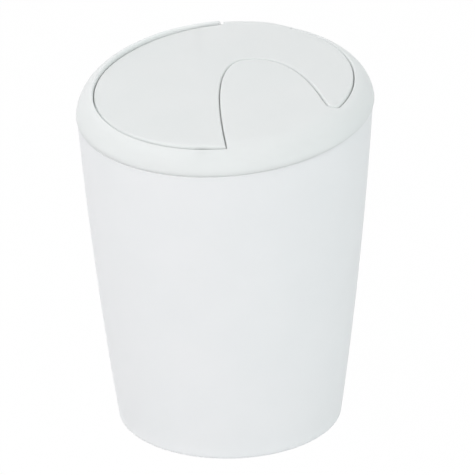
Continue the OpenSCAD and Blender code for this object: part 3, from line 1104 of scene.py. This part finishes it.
    def _lugs(self) -> list[Grid]:
        """Round lugs behind the collar in which the hinge pins run; each ends inside the shell's wall.

        Returns:
            Closed grids of the front lug and the rear lug.
        """
        s, grids = self.sizes, []
        reach = s.hinge_reach
        angle = np.linspace(0.0, 2 * math.pi, self.LUG_COLUMNS, endpoint=False)
        shell_arc = s.shoulder_r - self.wall + self.lug_sink
        section = ((self.lug_from, 0.0), (self.lug_from, self.lug_r), (self.lug_to, self.lug_r), (self.lug_to, 0.0))
        for side in (-1.0, 1.0):
            rows = []
            for y, r in section:
                x, z = s.hinge_x + r * np.cos(angle), s.hinge_h + r * np.sin(angle)
                limit = s.shoulder_flat_r + np.sqrt(np.maximum(shell_arc**2 - (z - s.shoulder_mid_h) ** 2, 0.0))
                ends = np.clip(np.sqrt(limit**2 - x**2), reach + self.lug_least, reach + y)
                rows.append(s.lid_to_object(x, side * ends, z))
            grids.append((np.stack(rows), False, True))
        return grids

    def _ribs(self) -> list[Grid]:
        """Stiffening ribs under the tongue.

        Returns:
            One closed grid for each rib.
        """
        s, grids = self.sizes, []
        low, high = self.collar_base + self.rib_lift, s.crown_h - self.wall / 2 - self.rib_drop
        for bearing in self.rib_bearings:
            along = Swirl.ray(bearing)
            start, end = along * (s.opening_r / 4), along * (s.opening_r - self.rib_gap)
            grids.append(plate_on_edge(s, start, end, self.rib_t, low, high))
        return grids


# ---------------------------------------------------------------------------
# The swing flap
# ---------------------------------------------------------------------------


@dataclass
class SwingFlap(SubAssembly):
    """S-shaped flap with its rear lip, edges, ribs, bosses and counterweight pocket, in millimetres and degrees.

    Its columns run from the tip to the tail. Side a is the S-shaped line; side b is the round side, along the
    opening's circle and over the lip.
    """

    BODY, SLOT, NODE = Body.FLAP, Slot.SWING_FLAP, "swing_flap"
    LIP_TO, CUT_FROM = 120.0, 80.0
    SHARE_STEPS = 4001
    TIP_PULL, TAIL_PULL = (6.0, 0.006), (5.0, 0.02)
    STEP_SPREAD = (0.52, 0.48)
    EDGE_STEPS, UNDER_ROWS, BOSS_COLUMNS, POCKET_STEPS = 9, 9, 48, 25

    sizes: BinSizes
    swirl: Swirl
    gap: float = 0.28
    swirl_gap: float = 0.2
    tip_gap: float = 0.28
    plate_t: float = 2.0
    edge_t: float = 1.8
    base_h: float = 4.2
    crown_r: float = 1200.0
    rear_drop: float = 1.3
    rear_from_y: float = 5.0
    rear_run: float = 45.0
    rear_from_x: float = 4.0
    rear_fade: float = 26.0
    edge_w: float = 1.0
    edge_drop: float = 1.6
    lip_r: float = 64.55
    lip_out: float = 1.0
    lip_edge_r: float = 0.4
    lip_under_h: float = 9.05
    lip_from: float = 56.4
    lip_fade: float = 14.0
    lip_proud: float = 0.3
    rim_end_r: float = 12.0
    end_gap: float = 0.7
    end_over: float = 0.4
    relief: float = 0.62
    relief_half_w: float = 4.1
    relief_shift: float = 1.0
    relief_fade: float = 3.0
    back_cut: float = 0.6
    draft_in: float = 0.35
    draft_fade: float = 6.0
    draft_tip_pull: float = 4.0
    corner_soft: float = 0.45
    tail_pole: float = 250.0
    tip_room: float = 0.12
    room_slope: float = 0.8
    columns: int = 640
    top_rows: int = 26
    rim_rows: int = 8
    core_in: float = 2.2
    core_fade: float = 9.0
    core_start: float = 0.1
    boss_r: float = 2.8
    boss_bevel: float = 0.2
    boss_len: float = 9.0
    boss_back: float = 0.95
    bore_r: float = 1.4
    rib_t: float = 1.4
    rib_sink: float = 0.05
    cross_rib_gap: float = 1.5
    cross_rib_drop: float = 0.9
    bar_r: tuple[float, float] = (47.5, 54.5)
    bar_bearings: tuple[float, float] = (-8.0, 42.0)
    pocket_wall: float = 1.2
    pocket_room: float = 0.1
    pocket_h: tuple[float, float] = (4.35, 9.6)
    pocket_step: float = 0.6

    def build(self) -> bpy.types.Object:
        """Carries a closed section from the tip to the tail, between the swirl side and the round side.

        Returns:
            The flap's object.
        """
        c = self._columns()
        rows = self._swirl_edge(c) + self._face(c) + self._round_edge(c) + self._underside(c)
        grids = [(np.stack(rows), True, False)] + self._bosses() + self._ribs() + self._pocket()
        return MeshKit.build("swing_flap_shell", grids)

    def _row(self, p: Array, z: Array) -> Array:
        """One row of points, from plan points and heights in lid coordinates."""
        return self.sizes.lid_to_object(p[:, 0], p[:, 1], z)

    def _crown(self, x: Array, y: Array) -> Array:
        """Gentle crown: level on the tail's side, a parabola over the broad lobe, lower behind the raised rim.

        Args:
            x, y: plan points in lid coordinates.

        Returns:
            Heights in lid coordinates.
        """
        behind = ease((y - self.rear_from_y) / self.rear_run) * ease((self.rear_from_x - x) / self.rear_fade)
        return self.sizes.crown_h - np.minimum(x, 0.0) ** 2 / (2 * self.crown_r) - self.rear_drop * behind

    def _top(self, x: Array, y: Array) -> Array:
        """Height of the flap's top: the crown, and the lip's shoulder beyond it.

        Args:
            x, y: plan points in lid coordinates.

        Returns:
            Heights in lid coordinates.
        """
        s = self.sizes
        proud = ease((np.degrees(np.arctan2(y, x)) - self.lip_from) / self.lip_fade)
        out = np.clip(np.hypot(x, y) - s.shoulder_flat_r - self.lip_out * proud, 0.0, s.shoulder_r)
        shoulder = s.shoulder_mid_h + self.lip_proud * proud + np.sqrt(s.shoulder_r**2 - out**2)
        return np.minimum(self._crown(x, y), shoulder)

    def _column_shares(self) -> Array:
        """Shares along both sides, closer together at the tip and at the tail.

        Returns:
            Shares from 0 to 1.
        """
        even = np.linspace(0.0, 1.0, self.SHARE_STEPS)
        (tip_pull, tip_run), (tail_pull, tail_run) = self.TIP_PULL, self.TAIL_PULL
        weight = 1.0 + tip_pull * np.exp(-even / tip_run) + tail_pull * np.exp(-(1 - even) / tail_run)
        run = np.concatenate([[0.0], np.cumsum((weight[1:] + weight[:-1]) / 2)])
        along = np.interp(np.linspace(0, run[-1], self.columns), run, even)
        along[0], along[-1] = 0.0, 1.0
        return along

    def _sides(self) -> Columns:
        """Both sides of the flap, column by column, with the relief at the hinge and the straight cut behind it.

        Returns:
            Points and outward normals of sides a and b, and the lip's share.
        """
        s = self.sizes
        outline = self.swirl.outline(self.tip_gap, self.swirl_gap, self.gap, self.corner_soft)
        tail_mid = (s.opening_r - self.swirl.tail_r) * Swirl.ray(self.swirl.tail_bearing)
        pole_point = tail_mid + (self.swirl.tail_r - self.gap) * Swirl.ray(self.tail_pole)
        pole = float(np.argmin(np.linalg.norm(outline.points - pole_point, axis=1))) / len(outline.points)
        t = self._column_shares()
        a, left_a, _ = outline.at(t * pole)
        b, left_b, fan = outline.at(1.0 - t * (1.0 - pole))
        end_x = s.hinge_x + self.rim_end_r + self.end_gap
        lip = (fan > self.lip_from) & (fan < self.LIP_TO) & (b[:, 0] > end_x - self.end_over)
        from_hinge = (b[:, 0] - s.hinge_x - self.relief_shift) / self.relief_half_w
        from_tip = np.hypot(*(b - b[0]).T)
        relief = self.relief * np.exp(-from_hinge**2) * ~lip * ease(from_tip / self.relief_fade)
        b = b + left_b * relief[:, None]
        back_y = math.sqrt((s.opening_r - self.gap) ** 2 - s.hinge_x**2) - self.back_cut
        cut = (b[:, 1] > back_y) & ~lip & (fan > self.CUT_FROM)
        b = np.where(cut[:, None], np.stack([b[:, 0], np.full(len(b), back_y)], axis=1), b)
        left_b = np.where(cut[:, None], np.array([0.0, -1.0]), left_b)
        return {"a": a, "a_out": -left_a, "b": b, "b_out": -left_b, "lip": lip.astype(float)}

    def _insert_steps(self, c: Columns) -> Columns:
        """Adds two columns at each end of the lip, so that its ends are crisp.

        Args:
            c: the columns' data.

        Returns:
            The data with the added columns.
        """
        lip = c["lip"]
        more, less = self.STEP_SPREAD
        for i in [k for k in range(len(lip) - 1) if lip[k] != lip[k + 1]][::-1]:
            for name, values in c.items():
                low, high = values[i], values[i + 1]
                extra = [low, high] if name == "lip" else [low * more + high * less, low * less + high * more]
                c[name] = np.concatenate([values[:i + 1], np.stack(extra), values[i + 1:]])
        return c

    def _columns(self) -> Columns:
        """Data of every column.

        Returns:
            The sides' points and normals, the lip's share, the room for edges near the tip, and each side's
            rounded edge: its width, its drop and the points on both of its borders.
        """
        c = self._insert_steps(self._sides())
        a, b, lip = c["a"], c["b"], c["lip"]
        c["room"] = self.tip_room + self.room_slope * np.hypot(a[:, 0] - a[0, 0], a[:, 1] - a[0, 1])
        c["a_w"] = np.minimum(self.edge_w, c["room"])
        c["a_drop"] = c["a_w"] * self.edge_drop / self.edge_w
        c["a_in"] = a - c["a_out"] * c["a_w"][:, None]
        c["b_w"] = c["a_w"] + (self.lip_edge_r - c["a_w"]) * lip
        c["b_drop"] = c["a_drop"] + (self.lip_edge_r - c["a_drop"]) * lip
        c["b_end"] = b + c["b_out"] * (lip * (self.lip_r - self.sizes.opening_r + self.gap))[:, None]
        c["b_in"] = c["b_end"] - c["b_out"] * c["b_w"][:, None]
        return c

    def _swirl_edge(self, c: Columns) -> list[Array]:
        """Rows up the wall on the swirl side and over its rounded edge.

        Args:
            c: the columns' data.

        Returns:
            The rows of points.
        """
        a, out, base = c["a"], c["a_out"], self.base_h
        top = self._top(c["a_in"][:, 0], c["a_in"][:, 1])
        from_ends = np.minimum(self.draft_tip_pull * np.hypot(*(a - a[0]).T), np.hypot(*(a - a[-1]).T))
        draft = self.draft_in * ease(from_ends / self.draft_fade)
        rows = [self._row(a - out * (draft * (1 - t))[:, None], base + (top - c["a_drop"] - base) * t)
                for t in (0.0, 0.5, 1.0)]
        for turn in quarter(self.EDGE_STEPS):
            p = a - out * (c["a_w"] * (1 - math.cos(turn)))[:, None]
            rows.append(self._row(p, top - c["a_drop"] * (1 - math.sin(turn))))
        return rows

    def _face(self, c: Columns) -> list[Array]:
        """Rows across the top, with a band of closer ones along the round side.

        Args:
            c: the columns' data.

        Returns:
            The rows of points.
        """
        b, rows = c["b"], []
        to_pole = np.hypot(b[:, 0] - b[-1, 0], b[:, 1] - b[-1, 1])
        deeper = np.minimum(self.core_in, c["room"]) - c["a_w"]
        core = b - c["b_out"] * (c["a_w"] + deeper * ease(to_pole / self.core_fade - self.core_start))[:, None]
        for start, end, count in ((c["a_in"], core, self.top_rows), (core, c["b_in"], self.rim_rows)):
            for t in shares(count):
                p = start * (1 - t) + end * t
                rows.append(self._row(p, self._top(p[:, 0], p[:, 1])))
        return rows

    def _round_edge(self, c: Columns) -> list[Array]:
        """Rows over the round side's edge, under the lip and down the wall.

        Args:
            c: the columns' data.

        Returns:
            The rows of points.
        """
        b, end, rows = c["b"], c["b_end"], []
        top = self._top(c["b_in"][:, 0], c["b_in"][:, 1])
        for turn in quarter(self.EDGE_STEPS):
            shift = (c["b_w"] * (1 - math.sin(turn)))[:, None]
            rows.append(self._row(end - c["b_out"] * shift, top - c["b_drop"] * (1 - math.cos(turn))))
        face = top - c["b_drop"]
        lip_z = face + (self.lip_under_h - face) * c["lip"]
        rows += [self._row(end, lip_z), self._row(b, lip_z)]
        return rows + [self._row(b, (face + self.base_h) / 2), self._row(b, self.base_h)]

    def _underside(self, c: Columns) -> list[Array]:
        """Rows under both walls and across the underside of the plate.

        Args:
            c: the columns' data.

        Returns:
            The rows of points.
        """
        inset = np.minimum(self.edge_t, c["room"])[:, None]
        in_a, in_b = c["a"] - c["a_out"] * inset, c["b"] - c["b_out"] * inset
        under_a, under_b = (self._crown(p[:, 0], p[:, 1]) - self.plate_t for p in (in_a, in_b))
        rows = [self._row(in_b, z) for z in (self.base_h, (under_b + self.base_h) / 2, under_b)]
        for t in shares(self.UNDER_ROWS):
            p = in_b * (1 - t) + in_a * t
            rows.append(self._row(p, self._crown(p[:, 0], p[:, 1]) - self.plate_t))
        return rows + [self._row(in_a, z) for z in ((under_a + self.base_h) / 2, self.base_h)]

    def _bosses(self) -> list[Grid]:
        """Bosses about the hinge line that hold the pins.

        Returns:
            Closed grids of the front boss and the rear boss.
        """
        s, grids = self.sizes, []
        angle = np.linspace(0.0, 2 * math.pi, self.BOSS_COLUMNS, endpoint=False)
        section = ((0.0, self.bore_r), (0.0, self.boss_r - self.boss_bevel), (self.boss_bevel, self.boss_r),
                   (self.boss_len, self.boss_r), (self.boss_len, self.bore_r))
        for side in (-1.0, 1.0):
            rows = []
            for back, r in section:
                y = side * (s.hinge_reach - self.boss_back - back) * np.ones_like(angle)
                rows.append(s.lid_to_object(s.hinge_x + r * np.cos(angle), y, s.hinge_h + r * np.sin(angle)))
            grids.append((np.stack(rows), True, True))
        return grids

    def _ribs(self) -> list[Grid]:
        """The rib along the hinge line and two ribs across the broad lobe.

        Returns:
            One closed grid for each rib.
        """
        s = self.sizes
        reach = s.hinge_reach - self.boss_back
        high = s.crown_h - self.plate_t + self.rib_sink
        bars = [((s.hinge_x, -reach), (s.hinge_x, reach), high)]
        for y in (-s.opening_r / 3, s.opening_r / 3):
            start_x = self.cross_rib_gap - math.sqrt(s.opening_r**2 - y**2)
            bars.append(((start_x, y), (s.hinge_x, y), high - self.cross_rib_drop))
        return [plate_on_edge(s, np.array(start), np.array(end), self.rib_t, s.hinge_h, top)
                for start, end, top in bars]

    def _pocket(self) -> list[Grid]:
        """Walls of the pocket that holds the counterweight: a frame round the curved bar.

        Returns:
            Closed grids of the inner, the outer and the two end walls.
        """
        wall = self.pocket_wall
        r0, r1 = self.bar_r[0] - self.pocket_room, self.bar_r[1] + self.pocket_room
        mid_r = sum(self.bar_r) / 2
        turn, end = math.degrees(self.pocket_room / mid_r), math.degrees(wall / mid_r)
        a0, a1 = self.bar_bearings[0] - turn, self.bar_bearings[1] + turn
        return [
            self._arc_bar(r0 - wall, r0, a0 - end, a1 + end),
            self._arc_bar(r1, r1 + wall, a0 - end, a1 + end, self.pocket_step),
            self._arc_bar(r0, r1, a0 - end, a0),
            self._arc_bar(r0, r1, a1, a1 + end),
        ]

    def _arc_bar(self, r0: float, r1: float, a0: float, a1: float, step: float = 0.0) -> Grid:
        """A wall of the pocket: a rectangle carried along an arc about the lid's axis.

        Args:
            r0, r1: radii of its sides.
            a0, a1: bearings of its ends.
            step: how much lower than the others its top is.

        Returns:
            A closed grid.
        """
        low, high = self.pocket_h[0], self.pocket_h[1] - step
        ring = np.array([(r0, low), (r1, low), (r1, high), (r0, high)])
        mid = np.array([(r0 + r1) / 2, (low + high) / 2])
        rows = []
        bearings = np.linspace(a0, a1, self.POCKET_STEPS)
        for bearing, scale in [(a0, 0.0)] + [(v, 1.0) for v in bearings] + [(a1, 0.0)]:
            ray = Swirl.ray(bearing)
            r, z = (mid + (ring - mid) * scale).T
            rows.append(self.sizes.lid_to_object(r * ray[0], r * ray[1], z))
        return np.stack(rows), False, True


@dataclass(frozen=True)
class SteelParts:
    """The two hinge pins and the counterweight, which keep their CAD nodes."""

    pins: tuple[str, ...] = ("front_hinge_pin", "rear_hinge_pin")
    weight: str = "counterweight"

    def dress(self, pin_finish: bpy.types.Material, weight_finish: bpy.types.Material) -> None:
        """Gives each CAD node its finish.

        Args:
            pin_finish: the finish of the pins.
            weight_finish: the finish of the counterweight.
        """
        for node, finish in [(pin, pin_finish) for pin in self.pins] + [(self.weight, weight_finish)]:
            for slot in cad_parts[node].material_slots:
                slot.material = finish
            LOG.info("%s: CAD node kept, finish %s", node, finish.name)


# ---------------------------------------------------------------------------
# Camera, lights and stage
# ---------------------------------------------------------------------------


@dataclass(frozen=True)
class CameraPlace:
    """The photograph's viewpoint, in millimetres and degrees."""

    turn: float = 19.309
    target_h: float = 80.0
    distance: float = 1043.79
    elevation: float = 22.894
    yaw: float = 0.3015
    pitch: float = 22.312
    roll: float = -0.99
    focal_px: float = 2144.1
    sensor_mm: float = 36.0
    clip_m: tuple[float, float] = (0.05, 20.0)

    def build(self) -> None:
        """Makes the camera and sets it as the scene's own."""
        elevation, yaw, pitch, roll = (math.radians(v) for v in (self.elevation, self.yaw, self.pitch, self.roll))
        place = Vector((0.0, -math.cos(elevation), math.sin(elevation))) * self.distance
        place.z += self.target_h
        ahead = Vector((math.sin(yaw) * math.cos(pitch), math.cos(yaw) * math.cos(pitch), -math.sin(pitch)))
        right = ahead.cross(Vector((0, 0, 1))).normalized()
        up = right.cross(ahead)
        right, up = (right * math.cos(roll) + up * math.sin(roll), up * math.cos(roll) - right * math.sin(roll))
        axes = Matrix((right, up, -ahead)).transposed().to_4x4()
        around = Matrix.Rotation(math.radians(self.turn), 4, "Z")
        data = bpy.data.cameras.new("photo_camera")
        data.sensor_width = self.sensor_mm
        data.lens = self.focal_px / IMAGE_PX * self.sensor_mm
        data.clip_start, data.clip_end = self.clip_m
        camera = bpy.data.objects.new("photo_camera", data)
        camera.matrix_world = around @ Matrix.Translation(place * MM) @ axes
        bpy.context.scene.collection.objects.link(camera)
        bpy.context.scene.camera = camera


@dataclass(frozen=True)
class SoftLamp:
    """A large soft lamp, aimed at the bin, in metres, degrees and watts; bearings follow the camera's frame."""

    name: str
    bearing: float
    elevation: float
    distance: float
    size: float
    power: float
    tint: tuple[float, float, float] = (1.0, 1.0, 1.0)

    def build(self, turn: float, target: Vector) -> None:
        """Makes the lamp.

        Args:
            turn: bearing of the camera's right-hand side in the object's frame.
            target: the point that the lamp is aimed at.
        """
        bearing, elevation = math.radians(self.bearing + turn), math.radians(self.elevation)
        way = Vector((math.cos(bearing) * math.cos(elevation), math.sin(bearing) * math.cos(elevation),
                      math.sin(elevation)))
        data = bpy.data.lights.new(self.name, "AREA")
        data.shape = "DISK"
        data.size = self.size
        data.energy = self.power
        data.color = self.tint
        lamp = bpy.data.objects.new(self.name, data)
        lamp.location = target + way * self.distance
        lamp.rotation_euler = (-way).to_track_quat("-Z", "Y").to_euler()
        bpy.context.scene.collection.objects.link(lamp)


@dataclass(frozen=True)
class Studio:
    """White studio: floor, world and lamps, in metres and degrees."""

    lamps: tuple[SoftLamp, ...] = (
        SoftLamp("front_lamp", bearing=-95.0, elevation=20.0, distance=1.2, size=1.0, power=2.95),
        SoftLamp("left_lamp", bearing=-150.0, elevation=50.0, distance=0.8, size=0.6, power=0.85),
        SoftLamp("rear_lamp", bearing=160.0, elevation=55.0, distance=0.8, size=0.6, power=0.59),
        SoftLamp("right_lamp", bearing=-20.0, elevation=15.0, distance=1.5, size=1.0, power=1.76,
                 tint=(0.65, 1.0, 0.95)),
    )
    ambient: float = 0.82
    ambient_tint: tuple[float, float, float] = (0.985, 0.985, 1.0)
    target: tuple[float, float, float] = (0.0, 0.0, 0.1)
    floor_size: float = 6.0
    floor_white: float = 0.9
    floor_glow: float = 0.985

    def build(self, turn: float) -> None:
        """Makes the floor, the world and the lamps.

        Args:
            turn: bearing of the camera's right-hand side in the object's frame.
        """
        self._floor()
        self._world()
        for lamp in self.lamps:
            lamp.build(turn, Vector(self.target))

    @staticmethod
    def _seen(tree: bpy.types.NodeTree) -> bpy.types.NodeSocket:
        """Adds the test for what the camera sees, straight, in a reflection or through the object.

        Args:
            tree: the node tree of the floor or the world.

        Returns:
            A socket that is 1 on such rays and 0 on the others.
        """
        path = tree.nodes.new("ShaderNodeLightPath")
        seen = path.outputs["Is Camera Ray"]
        for kind in ("Is Glossy Ray", "Is Transmission Ray"):
            either = tree.nodes.new("ShaderNodeMath")
            either.operation = "MAXIMUM"
            tree.links.new(seen, either.inputs[0])
            tree.links.new(path.outputs[kind], either.inputs[1])
            seen = either.outputs[0]
        return seen

    def _floor(self) -> None:
        """A plain pale floor that shows white to the camera and keeps a soft shadow."""
        half = self.floor_size / 2
        corners = [(-half, -half, 0.0), (half, -half, 0.0), (half, half, 0.0), (-half, half, 0.0)]
        mesh = bpy.data.meshes.new("floor")
        mesh.from_pydata(corners, [], [(0, 1, 2, 3)])
        floor = bpy.data.objects.new("floor", mesh)
        bpy.context.scene.collection.objects.link(floor)
        material = bpy.data.materials.new("floor_white")
        material.use_nodes = True
        tree = material.node_tree
        tree.nodes.clear()
        end = tree.nodes.new("ShaderNodeOutputMaterial")
        plain = tree.nodes.new("ShaderNodeBsdfDiffuse")
        plain.inputs["Color"].default_value = (self.floor_white,) * 3 + (1.0,)
        glow = tree.nodes.new("ShaderNodeEmission")
        mix = tree.nodes.new("ShaderNodeMixShader")
        amount = tree.nodes.new("ShaderNodeMath")
        amount.operation = "MULTIPLY"
        amount.inputs[1].default_value = self.floor_glow
        tree.links.new(self._seen(tree), amount.inputs[0])
        tree.links.new(amount.outputs[0], mix.inputs["Fac"])
        tree.links.new(plain.outputs[0], mix.inputs[1])
        tree.links.new(glow.outputs[0], mix.inputs[2])
        tree.links.new(mix.outputs[0], end.inputs["Surface"])
        mesh.materials.append(material)

    def _world(self) -> None:
        """Even ambient light, and a white backdrop for the camera and for reflections."""
        world = bpy.data.worlds.new("studio")
        bpy.context.scene.world = world
        world.use_nodes = True
        tree = world.node_tree
        tree.nodes.clear()
        end = tree.nodes.new("ShaderNodeOutputWorld")
        ambient = tree.nodes.new("ShaderNodeBackground")
        ambient.inputs["Strength"].default_value = self.ambient
        backdrop = tree.nodes.new("ShaderNodeBackground")
        mix = tree.nodes.new("ShaderNodeMixShader")
        ambient.inputs["Color"].default_value = (*self.ambient_tint, 1.0)
        backdrop.inputs["Color"].default_value = (1.0, 1.0, 1.0, 1.0)
        tree.links.new(self._seen(tree), mix.inputs["Fac"])
        tree.links.new(ambient.outputs[0], mix.inputs[1])
        tree.links.new(backdrop.outputs[0], mix.inputs[2])
        tree.links.new(mix.outputs[0], end.inputs["Surface"])


# ---------------------------------------------------------------------------
# Assembly
# ---------------------------------------------------------------------------


def main() -> None:
    """Builds the camera, the studio, and then each sub-assembly in order."""
    logging.basicConfig(level=logging.INFO, format="%(message)s")
    bpy.context.scene.view_settings.view_transform = "Standard"
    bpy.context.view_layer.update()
    sizes = BinSizes()
    swirl = Swirl(sizes)
    camera = CameraPlace()
    camera.build()
    Studio().build(camera.turn)
    grain, drift = ShaderKit.mould_grain(), ShaderKit.tone_drift()
    bucket_white = MouldedPlastic("bucket_white", light=(0.835, 0.845, 0.85), dark=(0.82, 0.835, 0.84))
    # The lid's white is darker than the bucket's. Part of that is the lid's own greener tone, and part is painted
    # shade that holds down the crown and shoulder where the lamps light them more.
    lid_white_painted_shade = MouldedPlastic("lid_white_painted_shade", light=(0.757, 0.777, 0.767), dark=(0.742, 0.767, 0.757),
                               rough_low=0.36, rough_high=0.46)
    bar_steel = BrushedSteel("bar_steel", light=(0.5, 0.51, 0.52), dark=(0.36, 0.37, 0.38))
    bucket_finish = bucket_white.material(grain, drift)
    lid_painted_shade_finish = lid_white_painted_shade.material(grain, drift)
    pin_finish = BrushedSteel("pin_steel").material(grain, drift)
    weight_finish = bar_steel.material(grain, drift)
    Bucket(sizes).dress(bucket_finish)
    LidRing(sizes, swirl).dress(lid_painted_shade_finish)
    SwingFlap(sizes, swirl).dress(lid_painted_shade_finish)
    SteelParts().dress(pin_finish, weight_finish)


if __name__ == "__main__":
    main()
